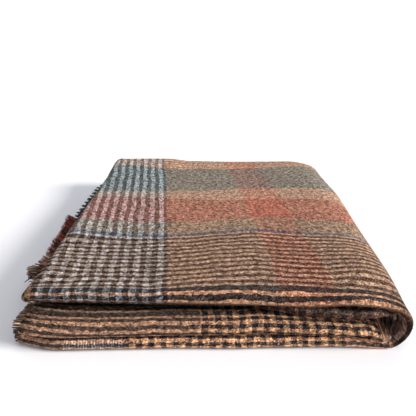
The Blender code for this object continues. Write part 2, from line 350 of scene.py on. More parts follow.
def stack(x, y):
    """The lowest height and the thickness of each run's strip over the point x, y."""
    right = smooth(*SIDE_BLEND_X, x)
    near = 1 - smooth(0, PUFF_REACH, y)
    thick = {0: STRIP_FLAT + 0 * x * y}
    thick[1] = mix(STRIP_FLAT, mix(*SECOND_NOSE, right), near)
    thick[2] = mix(STRIP_FLAT, mix(*THIRD_NOSE, right), near)
    low = {0: 0 * thick[0]}
    for run in (1, 2, 3):
        low[run] = low[run - 1] + thick[run - 1] + RUN_GAP
    lift = mix(*FRONT_LIFT, right) * near
    lift = lift + RIGHT_LIFT * smooth(*RIGHT_LIFT_X, x) * (1 - smooth(*RIGHT_LIFT_Y, y))
    wave = sum(high * np.sin(x * along + y * back + start) for high, along, back, start in TOP_SWELLS)
    thick[3] = 3 * (STRIP_FLAT + RUN_GAP) + STRIP_FLAT + lift + TOP_WAVE * wave * (1 - near) - low[3]
    thick[3] = thick[3] + BACK_PUFF * (1 - smooth(*BACK_PUFF_X, x)) * smooth(*BACK_PUFF_Y, y)
    return low, thick


def section(part, share):
    """Front to back along the section: y for the top run, the side of the strip, and how far round a nose."""
    turn = np.pi * share
    none = 0 * share
    if part == "inner_layer":
        return mix(INNER_EDGE_Y, BACK_BASE_Y, share), none, none
    if part == "back_nose":
        return none + BACK_BASE_Y, (1 - np.cos(turn)) / 2, -np.sin(turn) / 2
    if part == "outer_layer":
        return mix(BACK_BASE_Y, NOSE_BASE_Y, share), none + 1, none
    if part == "front_nose":
        return none + NOSE_BASE_Y, np.cos(turn), np.sin(turn)
    return mix(NOSE_BASE_Y, WRAP_EDGE_Y, share), none - 1, none


def nose_y(run, x, side):
    """The y of a run's front nose. The middle runs draw back towards their right turn."""
    recess = TURN_RECESS * smooth(*TURN_RECESS_X, x + TURN_RECESS_SKEW * side) if run in (1, 2) else 0
    return nose_line(f"run{run}", x) + recess


def back_y(run, x):
    return nose_line("back", x) + BACK_SHIFT[run]


def lay(y, side, nose, front, back, thick):
    """y and the distance from the strip's middle of a point of the section, for a strip of this thickness."""
    reach = (thick - CLOTH) / 2
    depth = NOSE_DEPTH * reach + NOSE_EXTRA
    forward = front + depth + CLOTH / 2 - NOSE_BASE_Y
    backward = back - depth - CLOTH / 2 - BACK_BASE_Y
    at = y + forward * (1 - smooth(0, FRONT_REACH, y))
    at = at + backward * smooth(BACK_BASE_Y - BACK_REACH, BACK_BASE_Y, y)
    return at - nose * depth, side * reach


def curve(start, start_handle, end, end_handle, share):
    """A turn's line in x and z, and its direction, as a cubic with level ends."""
    (x0, z0), (x3, z3) = start, end
    s, r = share, 1 - share
    points = ((x0, z0), (x0 + start_handle, z0), (x3 + end_handle, z3), (x3, z3))
    weights = (r**3, 3 * r * r * s, 3 * r * s * s, s**3)
    at = [sum(w * p[k] for w, p in zip(weights, points)) for k in (0, 1)]
    slopes = (3 * r * r, 6 * r * s, 3 * s * s)
    along = [sum(w * (q[k] - p[k]) for w, p, q in zip(slopes, points, points[1:])) for k in (0, 1)]
    return at[0], at[1], along[0], along[1]


def right_shift(y):
    return RIGHT_BULGE * smooth(*RIGHT_BULGE_Y, y) - RIGHT_CORNER * smooth(*RIGHT_CORNER_Y, y)


def end_x(run, side):
    return mix(*END_X[run], (1 - side) / 2)


def run_ends(run, y, side):
    """Where a run starts and ends, in the order in which the cloth goes."""
    right = right_shift(y)
    return {
        0: (end_x(0, side), OUTER_LOW_X + right),
        3: (OUTER_HIGH_X + right, LEFT_TURN_X),
        2: (LEFT_TURN_X, INNER_HIGH_X + right),
        1: (INNER_LOW_X + right, end_x(1, side)),
    }[run]


def run_strip(run, x, y):
    """The middle height and thickness of a run's strip, pressed thin towards its turns."""
    low, thick = stack(x, y)
    strip = thick[run]
    if run in (2, 3):
        strip = mix(LEFT_STRIP[run], strip, smooth(0, LEFT_SQUEEZE, x - LEFT_TURN_X))
    right = {0: OUTER_LOW_X, 1: INNER_LOW_X, 2: INNER_HIGH_X, 3: OUTER_HIGH_X}[run] + right_shift(y)
    strip = mix(STRIP_TURN, strip, smooth(0, RIGHT_SQUEEZE, right - x))
    height = mix(low[run] + strip / 2, low[run] + thick[run] - strip / 2, PRESSED_TO[run])
    if run in (1, 2):
        height = mix(INNER_TURN_Z[run - 1], height, smooth(0, INNER_SPREAD, right - x))
    return height, strip


def in_run(run, share, y, side, nose):
    start, end = run_ends(run, y, side)
    return at_x(run, mix(start, end, share), y, side, nose)


def at_x(run, x, y, side, nose):
    height, strip = run_strip(run, x, y)
    out_y, off = lay(y, side, nose, nose_y(run, x, side), back_y(run, x), strip)
    up = 1 if run in (1, 3) else -1
    return np.stack([x + 0 * out_y, out_y, height + up * off], -1)


def in_turn(first, second, start_handle, end_handle, share, y, side, nose):
    """A point of the turn from the end of one run to the start of the next."""
    x0 = run_ends(first, y, side)[1]
    x1 = run_ends(second, y, side)[0]
    z0, thick0 = run_strip(first, x0, y)
    z1, thick1 = run_strip(second, x1, y)
    px, pz, dx, dz = curve((x0, z0), start_handle, (x1, z1), end_handle, share)
    ease = smooth(TURN_EASE_START[first], 1, share)
    front = mix(nose_y(first, px, side), nose_y(second, px, side), ease)
    back = mix(back_y(first, px), back_y(second, px), ease)
    out_y, off = lay(y, side, nose, front, back, mix(thick0, thick1, ease))
    size = np.hypot(dx, dz)
    return np.stack([px + off * dz / size, out_y, pz - off * dx / size], -1)


def along_path(part, share, y, side, nose):
    """A point of the folded cloth: the stretch of the path, how far along it, and the place in the section."""
    if part == "outer":
        return in_turn(0, 3, OUTER_LOW_HANDLE, OUTER_HIGH_HANDLE, share, y, side, nose)
    if part == "left":
        return in_turn(3, 2, -LEFT_TURN_HANDLE, -LEFT_TURN_HANDLE, share, y, side, nose)
    if part == "inner":
        return in_turn(2, 1, INNER_TURN_HANDLE, INNER_TURN_HANDLE, share, y, side, nose)
    return in_run(int(part[3:]), share, y, side, nose)


def stations(steps, dense):
    """(part, share) for each line of points. dense names the parts whose lines crowd, and at which end."""
    found = []
    for part, count in steps.items():
        shares = np.arange(count) / count
        crowd = dense.get(part)
        if crowd == "end":
            shares = 1 - (1 - shares) ** DENSE_END
        elif crowd == "start":
            shares = shares**DENSE_END
        found += [(part, share) for share in shares]
    return found + [(list(steps)[-1], 1.0)]


def section_lines(across):
    """y, side and nose of each station across the cloth."""
    return np.array([section(part, np.array(share)) for part, share in across]).T


def wave(x, q):
    """How far back the band that belongs at q lies at x, in mm."""
    names, rows = table_rows(WAVES)
    columns = np.array([float(name) for name in names[1:]])
    at = np.clip(x / MM, columns[0], columns[-1])
    lines = np.array([np.interp(at, columns, row[1:]) for row in rows])
    spot = np.interp(q / MM, rows[:, 0], np.arange(len(rows)))
    below = np.minimum(spot.astype(int), len(rows) - 2)
    flat_lines = lines.reshape(len(rows), -1)
    low, high = (
        np.take_along_axis(flat_lines, below.reshape(1, -1) + step, 0).reshape(q.shape) for step in (0, 1)
    )
    return mix(low, high, smooth(0, 1, spot - below))


def top_share(part, share):
    """1 on the top run, falling to 0 through the turns beside it."""
    if part == "outer":
        return smooth(*TOP_FADE[part], share)
    if part == "left":
        return 1 - smooth(*TOP_FADE[part], share)
    return 1.0 if part == "run3" else 0.0


def lower_pattern(part, share):
    """On the lower runs and turns: the push along, and the line of the pattern that lies on the nose."""
    if part == "outer":
        line = mix(NOSE_LINE[0], RIM_LINE, smooth(*LINE_CHANGE[part], share))
        return mix(RUN_PUSH[0], 0, share), line
    if part == "left":
        return mix(0, RUN_PUSH[2], share), NOSE_LINE[2]
    if part == "inner":
        line = mix(NOSE_LINE[2], NOSE_LINE[1], smooth(*LINE_CHANGE[part], share))
        return mix(RUN_PUSH[2], RUN_PUSH[1], share), line
    run = int(part[3:])
    return RUN_PUSH.get(run, 0), NOSE_LINE.get(run, 0)


def flat_places(path, across, middle):
    """Each point's place on the flat cloth: along it from the check's edge, and back from the front nose."""
    steps = np.linalg.norm(np.diff(middle, axis=1), axis=2)
    over = np.concatenate([np.zeros((len(path), 1)), np.cumsum(steps, axis=1)], axis=1)
    outer = [k for k, (part, _) in enumerate(across) if part == "outer_layer"]
    mid_run = [k for k, (part, _) in enumerate(path) if part == "run3"][ALIGN_STATION]
    anchor = outer[int(np.argmin(np.abs(middle[mid_run, outer, 1] - ALIGN_Y)))]
    q = over[:, anchor, None] + ALIGN_Q - over
    line = middle[:, anchor]
    along = np.concatenate([[0], np.cumsum(np.linalg.norm(np.diff(line, axis=0), axis=1))])
    start = next(k for k, (part, _) in enumerate(path) if part == "run3")
    p = along - along[start] - (line[start, 0] - CHECK_EDGE_X)
    size = (along[-1], float(np.median(over[:, -1])))
    p = p[:, None] - WEFT_SLANT * q
    top = np.array([top_share(part, share) for part, share in path])[:, None]
    push, line = np.array([lower_pattern(part, share) for part, share in path]).T
    nose = next(k for k, (part, share) in enumerate(across) if part == "front_nose" and share >= 0.5)
    beyond = q - q[:, nose, None]
    press = np.array([NOSE_PRESS.get(part, 1) - 1 for part, _ in path])[:, None]
    beyond = beyond + press * np.clip(beyond, -PRESS_REACH, PRESS_REACH)
    drop = (push[:, None] > RUN_1_PUSH) * END_DROP * (1 - smooth(*END_DROP_X, middle[..., 0]))
    line = line[:, None] * MM + drop
    q = mix(line + beyond, q - wave(middle[..., 0], q) * MM, top)
    keep, drawn = np.array([ALONG_PRESS.get(part, (0, 1)) for part, _ in path]).T[:, :, None]
    p = p - push[:, None] * MM
    p = keep * MM + (p - keep * MM) * drawn
    return np.stack([p, q], -1), size


def painted_fold_shade(path, across, middle):
    """Painted shade on each point's colour, for the light that the folds keep out; below 0 it is painted light.
    """
    x, y, _ = np.moveaxis(middle, -1, 0)
    parts = np.array([part for part, _ in path])[:, None]
    share = np.array([share for _, share in path])[:, None]
    side = section_lines(across)[1][None, :]
    shade = 0 * x
    rim = smooth(*TURN_RIM_START, share) * (1 - smooth(*TURN_RIM_END, share)) * (1 - smooth(*TURN_RIM_Y, y))
    shade = np.where((parts == "outer") & (side > INSIDE_FACE), TURN_RIM_SHADE * rim, shade)
    shade = np.where((parts == "outer") & (side <= INSIDE_FACE), TURN_INSIDE_SHADE, shade)
    for part, value in LAYER_SHADES.items():
        shade = np.where(parts == part, value, shade)
    pale = RUN_1_SHADE * smooth(*RUN_1_SHADE_Y, y)
    shade = np.where((parts == "run1") & (side > INSIDE_FACE), pale, shade)
    # Painted shadow on run 1's face, in the slit under the top run's nose
    slit = smooth(*SLIT_START_Y, y) * (1 - smooth(*SLIT_END_Y, y)) * (1 - smooth(*SLIT_END_X, x))
    shade = np.where(parts == "run1", shade + SLIT_SHADE * slit, shade)
    return np.where(parts == "run3", TOP_NOSE_SHADE * (1 - smooth(*TOP_NOSE_Y, y)), shade)


def sheet_normals(middle):
    """The way out of one face at each point of a grid."""
    normal = np.cross(np.gradient(middle, axis=0), np.gradient(middle, axis=1))
    return normal / np.linalg.norm(normal, axis=-1, keepdims=True)


def sheet_grid(path, across):
    """The cloth's middle surface, as a grid of points: along the path, and across it."""
    y, side, nose = section_lines(across)
    return np.array([along_path(part, share, y, side, nose) for part, share in path])


def into_frame(points):
    """From the strip's own sizes to the frame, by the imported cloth's box."""
    low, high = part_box("folded_cloth")
    shift = (low[0] - END_X[0][0], high[1] - FARTHEST_BACK, 0)
    return points + np.array(shift)


def closed_sheet(name, middle, thick, flat, shade):
    """A sheet of even thickness about a grid of points, closed round its edge, with its own flat map."""
    normal = sheet_normals(middle)
    rows, columns = middle.shape[:2]
    skins = []
    for side in (1, -1):
        points = middle + side * thick / 2 * normal
        points[..., 2] = np.maximum(points[..., 2], 0)
        skins.append(points.reshape(-1, 3))
    count = rows * columns
    index = np.arange(count).reshape(rows, columns)
    quads = np.stack([index[:-1, :-1], index[1:, :-1], index[1:, 1:], index[:-1, 1:]], -1).reshape(-1, 4)
    edge = np.concatenate([index[:, 0], index[-1, 1:], index[-2::-1, -1], index[0, -2:0:-1]])
    after = np.roll(edge, -1)
    rim = np.stack([edge, edge + count, after + count, after], -1)
    faces = np.concatenate([quads, quads[:, ::-1] + count, rim])
    data = bpy.data.meshes.new(name)
    data.from_pydata(into_frame(np.concatenate(skins)).tolist(), [], faces.tolist())
    chart = data.uv_layers.new(name="flat")
    corners = np.empty(len(data.loops), int)
    data.loops.foreach_get("vertex_index", corners)
    chart.data.foreach_set("uv", np.tile(flat.reshape(-1, 2), (2, 1))[corners].ravel())
    # The painted fold shade, kept on each point for the wool's colour
    deep = data.attributes.new("deep", "FLOAT", "POINT")
    deep.data.foreach_set("value", np.tile(shade.ravel(), 2))
    return finished(name, data)


def finished(name, data):
    """The mesh as a smooth object, with its faces pointing out."""
    mesh = bmesh.new()
    mesh.from_mesh(data)
    bmesh.ops.recalc_face_normals(mesh, faces=mesh.faces)
    mesh.to_mesh(data)
    mesh.free()
    data.shade_smooth()
    made = bpy.data.objects.new(name, data)
    bpy.context.scene.collection.objects.link(made)
    return made


def look_up(text, y):
    """The columns of a table of numbers at y, in mm."""
    _, rows = table_rows(text)
    return [np.interp(y / MM, rows[:, 0], rows[:, k]) for k in range(1, rows.shape[1])]


def end_line(run):
    """Points close together along the section at a fringed end: place, way out of the strip, length along."""
    across = stations({part: END_STEPS for part in SECTION_STEPS}, {})
    line = []
    for part, share in across:
        y, side, nose = section(part, np.array(share))
        line.append(at_x(run, end_x(run, side), y, side, nose))
    line = np.array(line)
    slope = np.gradient(line, axis=0)
    normal = np.cross((1, 0, 0), slope)
    normal /= np.linalg.norm(normal, axis=-1, keepdims=True)
    steps = np.linalg.norm(np.diff(line, axis=0), axis=1)
    return line, normal, np.concatenate([[0], np.cumsum(steps)])


def tubes(name, lines, radii, colors):
    """Closed yarns as one mesh: lines is yarns x points x 3, radii and colors are given by yarn and point."""
    count, rings, _ = lines.shape
    along = np.gradient(lines, axis=1)
    along /= np.linalg.norm(along, axis=-1, keepdims=True)
    side = np.cross(along, YARN_NEVER)
    side /= np.linalg.norm(side, axis=-1, keepdims=True)
    up = np.cross(side, along)
    turns = np.arange(YARN_SIDES) / YARN_SIDES * 2 * np.pi
    around = np.cos(turns)[:, None] * side[:, :, None] + np.sin(turns)[:, None] * up[:, :, None]
    points = lines[:, :, None] + around * radii[:, :, None, None]
    points[..., 2] = np.maximum(points[..., 2], FLOOR_CLEAR)
    index = np.arange(count * rings * YARN_SIDES).reshape(count, rings, YARN_SIDES)
    after = np.roll(index, -1, axis=2)
    faces = np.stack([index[:, :-1], after[:, :-1], after[:, 1:], index[:, 1:]], -1).reshape(-1, 4).tolist()
    faces += index[:, 0, ::-1].tolist() + index[:, -1].tolist()
    data = bpy.data.meshes.new(name)
    data.from_pydata(into_frame(points.reshape(-1, 3)).tolist(), [], faces)
    dyed = data.attributes.new("dye", "FLOAT_COLOR", "POINT")
    dyed.data.foreach_set("color", np.repeat(colors[:, :, None], YARN_SIDES, axis=2).ravel())
    return finished(name, data)


def fringe(name, run, shape, dyes, extra=()):
    """The yarns of a cut end. Each is drawn from the tables at the y where it leaves the cloth."""
    chance = np.random.default_rng(YARN_SEED[run])
    line, normal, lengths = end_line(run)
    at = np.arange(YARN_PITCH[run] / 2, lengths[-1], YARN_PITCH[run])
    at = at + chance.uniform(-PLACE_SPREAD, PLACE_SPREAD, len(at)) * YARN_PITCH[run]
    root = np.stack([np.interp(at, lengths, line[:, k]) for k in range(3)], -1)
    out = np.stack([np.interp(at, lengths, normal[:, k]) for k in range(3)], -1)
    count = len(root)
    y = root[:, 1]
    tip_x, sweep, rise, bunch = look_up(shape, y)
    root = root + out * chance.uniform(-HEIGHT_SPREAD, HEIGHT_SPREAD, (count, 1))
    middle = (np.floor(y / BUNCH_PITCH) + 0.5) * BUNCH_PITCH
    t = np.linspace(0, 1, YARN_RINGS)[None, :]
    reach = (root[:, 0] - tip_x * MM)[:, None] * chance.normal(1, REACH_SPREAD, (count, 1))
    bend = chance.normal(0, BEND_SPREAD, (count, 3))
    x = root[:, :1] + YARN_ROOT - (reach + YARN_ROOT) * ((1 + YARN_CURL) * t - YARN_CURL * t * t)
    gather = smooth(*BUNCH_REACH, t) * (bunch * (middle - y))[:, None]
    y = y[:, None] + gather + (sweep * MM)[:, None] * t**YARN_SWEEP_POWER + bend[:, 1:2] * t * YARN_BEND[0]
    z = root[:, 2:] + (rise * MM)[:, None] * t * t + bend[:, 2:] * t * YARN_BEND[1]
    low = YARN_FLOOR[run] + YARN_RADIUS
    lines = np.stack([x, y, np.maximum(z, low)], -1)
    radii = YARN_RADIUS * (1 - YARN_TAPER * t**3) * chance.uniform(*YARN_SIZES, (count, 1))
    table = table_words(dyes)
    first, last = [], []
    for place in root[:, 1]:
        row = [row for row in table if float(row[0]) * MM <= place][-1]
        stray = row[3] if chance.random() < STRAY_SHARE else None
        first.append(DYES[stray or row[1]])
        last.append(DYES[stray or row[2]])
    tint = mix(np.array(first)[:, None], np.array(last)[:, None], smooth(*TIP_DYE, t)[..., None])
    tint[..., :3] *= chance.uniform(*YARN_TONES, (count, 1, 1))
    for start, end, thick, color in extra:
        bow = np.array([0, 0, LOOSE_BOW]) * (t * (1 - t))[0][:, None]
        one = mix(np.array(start), np.array(end), t[0][:, None]) * MM + bow
        lines = np.concatenate([lines, one[None]])
        radii = np.concatenate([radii, thick * MM * (1 - LOOSE_TAPER * t**3)])
        tint = np.concatenate([tint, np.tile(DYES[color], (1, YARN_RINGS, 1))])
    piece = tubes(name, lines, radii, tint)
    piece.data.materials.append(yarn_material(name))
    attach(piece, "root")
    return piece


class Shade:
    """A socket of a material's nodes. Arithmetic on it adds Math nodes."""

    def __init__(self, tree, socket):
        self.tree = tree
        self.socket = socket

    def node(self, kind, settings=None, inputs=None, output=0):
        """A new node with its settings made first, then its sockets filled or linked."""
        made = self.tree.nodes.new(kind)
        for key, value in (settings or {}).items():
            setattr(made, key, value)
        for key, value in (inputs or {}).items():
            if isinstance(value, Shade):
                self.tree.links.new(value.socket, made.inputs[key])
            else:
                made.inputs[key].default_value = value
        return Shade(self.tree, made.outputs[output])

    def math(self, operation, *values):
        return self.node("ShaderNodeMath", {"operation": operation}, dict(enumerate(values)))

    def __add__(self, other):
        return self.math("ADD", self, other)

    def __sub__(self, other):
        return self.math("SUBTRACT", self, other)

    def __rsub__(self, other):
        return self.math("SUBTRACT", other, self)

    def __mul__(self, other):
        return self.math("MULTIPLY", self, other)

    def __truediv__(self, other):
        return self.math("DIVIDE", self, other)

    def __mod__(self, other):
        return self.math("FLOORED_MODULO", self, other)

    def __lt__(self, other):
        return self.math("LESS_THAN", self, other)

    def above(self, value):
        return self.math("GREATER_THAN", self, value)

    def floor(self):
        return self.math("FLOOR", self)

    def size(self):
        return self.math("ABSOLUTE", self)

    def parts(self):
        """The three parts of a vector."""
        split = self.node("ShaderNodeSeparateXYZ", {}, {0: self})
        return [Shade(self.tree, socket) for socket in split.socket.node.outputs]

    def noise(self, scale, detail=2.0, rough=0.5, twist=0.0, output=0):
        """Noise over the flat cloth, where this is the place on it."""
        return self.node(
            "ShaderNodeTexNoise",
            {"noise_dimensions": "2D"},
            {"Vector": self, "Scale": scale, "Detail": detail, "Roughness": rough, "Distortion": twist},
            output,
        )

    def between(self, low, high):
        """0 at low and below, 1 at high and above, smooth between."""
        return self.node(
            "ShaderNodeMapRange", {"interpolation_type": "SMOOTHSTEP"}, {0: self, 1: low, 2: high}
        )

    def blend(self, first, second):
        """first where this is 0 and second where it is 1, as colours."""
        return self.node(
            "ShaderNodeMix", {"data_type": "RGBA"}, {0: self, 6: first, 7: second}, output=2
        )

    __radd__ = __add__
    __rmul__ = __mul__


# Threads that cross lie in each other's shade, so they mix darker than their colours side by side:
# they are mixed as roots of what the eye sees
CROSS_ROOT = 2.0
EYE_TO_LIGHT = 2.2


def dye(red, green, blue):
    """A yarn's colour as the eye sees it, from 0 to 255, as the value in which yarns are crossed."""
    return (*((c / 255) ** (1 / CROSS_ROOT) for c in (red, green, blue)), 1.0)


# The yarns
DYES = {
    "tan": dye(200, 170, 146),
    "fawn": dye(170, 134, 110),
    "straw": dye(184, 152, 128),
    "sage": dye(114, 124, 118),
    "rust": dye(170, 108, 90),
    "olive": dye(144, 126, 104),
    "wheat": dye(180, 152, 126),
    "umber": dye(60, 44, 38),
    "orange": dye(212, 158, 122),
    "ink": dye(51, 48, 49),
    "navy": dye(74, 88, 112),
    "mushroom": dye(148, 115, 95),
    "brick": dye(160, 97, 79),
    "cream": dye(186, 193, 201),
    "soot": dye(62, 59, 61),
    "ginger": dye(204, 154, 110),
    "dove": dye(164, 156, 148),
    "bark": dye(88, 75, 68),
    "chestnut": dye(124, 98, 81),
    "maroon": dye(124, 62, 52),
    "earth": dye(92, 68, 52),
    "clay": dye(128, 92, 72),
    "hemp": dye(138, 112, 90),
    "khaki": dye(84, 72, 60),
    "coal": dye(48, 42, 42),
    "pine": dye(46, 60, 54),
    "pitch": dye(30, 28, 32),
}

# Across the cloth: where each band of warp starts, back from the front nose, and its two yarns
WARP_BANDS = """
  from   light    dark
  -900   tan      tan
  -480   sage     sage
  -380   straw    straw
  -340   rust     rust
  -265   olive    olive
  -230   wheat    umber
  -120   bark     umber
   -40   ink      orange
  -2.4   orange   orange
   2.4   ink      ink
     8   orange   orange
  12.8   ink      ink
    22   wheat    umber
   139   navy     navy
   145   olive    olive
   176   rust     rust
   242   straw    straw
   285   sage     sage
   386   tan      fawn
   480   sage     sage
   575   tan      tan
   610   rust     rust
   680   olive    olive
   715   wheat    umber
"""

# Along the cloth: where each band of weft starts, on from the check's edge, and its two yarns
WEFT_BANDS = """
  from   light     dark
  -900   bark      bark
  -647   dove      soot
  -578   ginger    coal
  -323   mushroom  mushroom
  -182   brick     brick
  -123   mushroom  mushroom
     0   cream     soot
   142   ginger    coal
   776   chestnut  chestnut
"""

# How much of the face is warp, and how much more of it along the front edge and in the checks
WARP_SHARE = 0.55
EDGE_SHARE = 0.28
EDGE_CHECK_SHARE = 0.03
ROW_CHECK_SHARE = 0.07
TWILL_LIFT = 0.22
SLUB_SHARE = 0.9
# Lines across the cloth, in mm from the front nose: the front edge ends, the under side starts, the stripes end
EDGE_END = (21.0, 23.0)
UNDER_START = (-60.0, -40.0)
STRIPES_END = 139.0
# Lines along it, in mm from the check's edge: the bold check ends, and it is turned by half a check before
LOWER_CHECK_END = -318.0
HALF_TURN_END = -400.0

# How far the threads stray from their lines, in mm along and across the cloth: in short bends and in long ones
THREAD_STRAY = (4.0, 3.6)
THREAD_DRIFT = (6.0, 5.0)
# It keeps whole thread numbers off the edges of the stripes
NUDGE = 0.25

# The noises over the cloth, by waves to a mm. The grain is drawn out along the weft
STRAY_NOISE = {"scale": 0.16, "detail": 3.0, "rough": 0.6}
DRIFT_NOISE = {"scale": 0.035}
SLUB_NOISE = {"scale": 0.22, "detail": 5.0, "rough": 0.8}
GRAIN_NOISE = {"scale": 0.45, "detail": 3.0, "rough": 0.8, "twist": 0.4}
GRAIN_DRAW = 0.6
TUFT_NOISE = {"scale": 0.15, "rough": 0.8}
CLOUD_NOISE = {"scale": 0.02}

# The light on the brushed face: least, and what its grain, tufts, clouds and the painted shade of deep folds
# change
BASE_LIGHT = 0.405
GRAIN_LIGHT = 0.56
TUFT_LIGHT = 0.34
CLOUD_LIGHT = 0.14
PAINTED_SHADE_AMOUNT = 0.6
FLECK_RANGE = (0.36, 0.64)
# The relief of threads, grain and slubs
THREAD_HEIGHT = 0.6
GRAIN_HEIGHT = 1.4
SLUB_HEIGHT = 0.8
RELIEF = {"Strength": 0.8, "Distance": 0.0007}
WOOL_ROUGHNESS = 0.95
WOOL_SHINE = 0.05
YARN_FLECKS = {"Scale": 500.0, "Detail": 3.0}
YARN_FLECK_RANGE = (0.3, 0.7)
YARN_FLECK_LIGHT = (0.4, 0.8)


def bands(at, text, dark):
    """The yarn at a place in a table of bands: its light one, or its dark one where dark is 1."""
    color = None
    for place, light, deep in table_words(text):
        yarn = DYES[light] if light == deep else dark.blend(DYES[light], DYES[deep])
        color = yarn if color is None else at.above(float(place)).blend(color, yarn)
    return color


def new_material(name):
    """A material, its shader, and a Shade from which its nodes are made."""
    made = bpy.data.materials.new(name)
    made.use_nodes = True
    shader = made.node_tree.nodes["Principled BSDF"]
    return made, shader, Shade(made.node_tree, None)


def dull_wool(made, shader, crossed, light):
    """Finishes a wool material from its crossed dyes and the light on it."""
    color = crossed.node("ShaderNodeGamma", {}, {0: crossed, 1: CROSS_ROOT})
    color = color.node(
        "ShaderNodeMix", {"data_type": "RGBA", "blend_type": "MULTIPLY"}, {0: 1.0, 6: color, 7: light}, output=2
    )
    color = color.node("ShaderNodeGamma", {}, {0: color, 1: EYE_TO_LIGHT})
    made.node_tree.links.new(color.socket, shader.inputs["Base Color"])
    shader.inputs["Roughness"].default_value = WOOL_ROUGHNESS
    shader.inputs["Specular IOR Level"].default_value = WOOL_SHINE
    return made


def plaid_material():
    """The brushed plaid: each thread's dye by its place, crossed as a two and two twill, with fuzz over it."""
    made, shader, start = new_material("brushed_plaid_wool")
    flat = start.node("ShaderNodeUVMap", {"uv_map": "flat"})
    place = start.node("ShaderNodeVectorMath", {"operation": "SCALE"}, {0: flat, "Scale": 1 / MM})
    stray_p, stray_q, _ = place.noise(**STRAY_NOISE, output=1).parts()
    drift_p, drift_q, _ = place.noise(**DRIFT_NOISE, output=1).parts()
    p, q, _ = place.parts()
    p = p + (stray_p - 0.5) * THREAD_STRAY[0] + (drift_p - 0.5) * THREAD_DRIFT[0]
    q = q + (stray_q - 0.5) * THREAD_STRAY[1] + (drift_q - 0.5) * THREAD_DRIFT[1]

    # Which threads cross here, and whether each is of its band's light yarn or the dark one
    i = (q / THREAD).floor()
    j = (p / THREAD).floor()
    warp_place = (i + 0.5) * THREAD
    weft_place = (j + 0.5) * THREAD
    warp_dark = ((i + STRIPE_THREADS / 4 + NUDGE) % STRIPE_THREADS) < STRIPE_THREADS / 2
    fine = weft_place.above(FINE_CHECK[0]) * (1 - weft_place.above(FINE_CHECK[1]))
    check = CHECK_THREADS - fine * (CHECK_THREADS - FINE_CHECK_THREADS)
    turned = (1 - weft_place.above(HALF_TURN_END)) * (1 - fine) * (CHECK_THREADS / 2)
    weft_dark = ((j + turned + CHECK_START + NUDGE) % check) < check / 2
    warp = bands(warp_place, WARP_BANDS, warp_dark)
    weft = bands(weft_place, WEFT_BANDS, weft_dark)

    # How much of the warp shows
    over = ((i + j + NUDGE) % 4) < 2
    slub = place.noise(**SLUB_NOISE)
    checked = weft_place.above(0.0) + (1 - weft_place.above(LOWER_CHECK_END))
    at_edge = 1 - warp_place.between(*EDGE_END)
    on_top = warp_place.between(*UNDER_START)
    cover = WARP_SHARE + at_edge * (EDGE_SHARE - (EDGE_SHARE - EDGE_CHECK_SHARE) * checked * on_top)
    cover = cover + (1 - at_edge) * (1 - warp_place.above(STRIPES_END)) * checked * ROW_CHECK_SHARE
    cover = cover + (over - 0.5) * TWILL_LIFT * 2 + (slub - 0.5) * (SLUB_SHARE + at_edge * SLUB_SHARE)

    # The fuzz: its streaks run with the weft
    streak = start.node("ShaderNodeCombineXYZ", {}, {0: p * GRAIN_DRAW, 1: q})
    grain = streak.noise(**GRAIN_NOISE)
    tuft = place.noise(**TUFT_NOISE)
    cloud = place.noise(**CLOUD_NOISE)
    # The painted fold shade from the sheet's points darkens the colour, and lightens it below 0
    deep = start.node("ShaderNodeAttribute", {"attribute_name": "deep"}, output=2)
    light = grain.between(*FLECK_RANGE) * GRAIN_LIGHT + tuft.between(*FLECK_RANGE) * TUFT_LIGHT
    light = (light + cloud * CLOUD_LIGHT + BASE_LIGHT) * (1 - deep * PAINTED_SHADE_AMOUNT)

    # The relief
    round_q = ((q / THREAD) % 1.0 - 0.5).size()
    round_p = ((p / THREAD) % 1.0 - 0.5).size()
    thread = over * (0.5 - round_q) + (1 - over) * (0.5 - round_p)
    height = thread * THREAD_HEIGHT + grain * GRAIN_HEIGHT + slub * SLUB_HEIGHT
    bump = start.node("ShaderNodeBump", {}, {**RELIEF, "Height": height})
    made.node_tree.links.new(bump.socket, shader.inputs["Normal"])
    return dull_wool(made, shader, cover.blend(weft, warp), light)


def yarn_material(name):
    """Loose wool yarn in its own dye, a little flecked."""
    made, shader, start = new_material("yarn_of_" + name)
    dyed = start.node("ShaderNodeAttribute", {"attribute_name": "dye"})
    spot = start.node("ShaderNodeTexCoord", output=3)
    fleck = start.node("ShaderNodeTexNoise", {}, {"Vector": spot, **YARN_FLECKS})
    change, least = YARN_FLECK_LIGHT
    return dull_wool(made, shader, dyed, fleck.between(*YARN_FLECK_RANGE) * change + least)


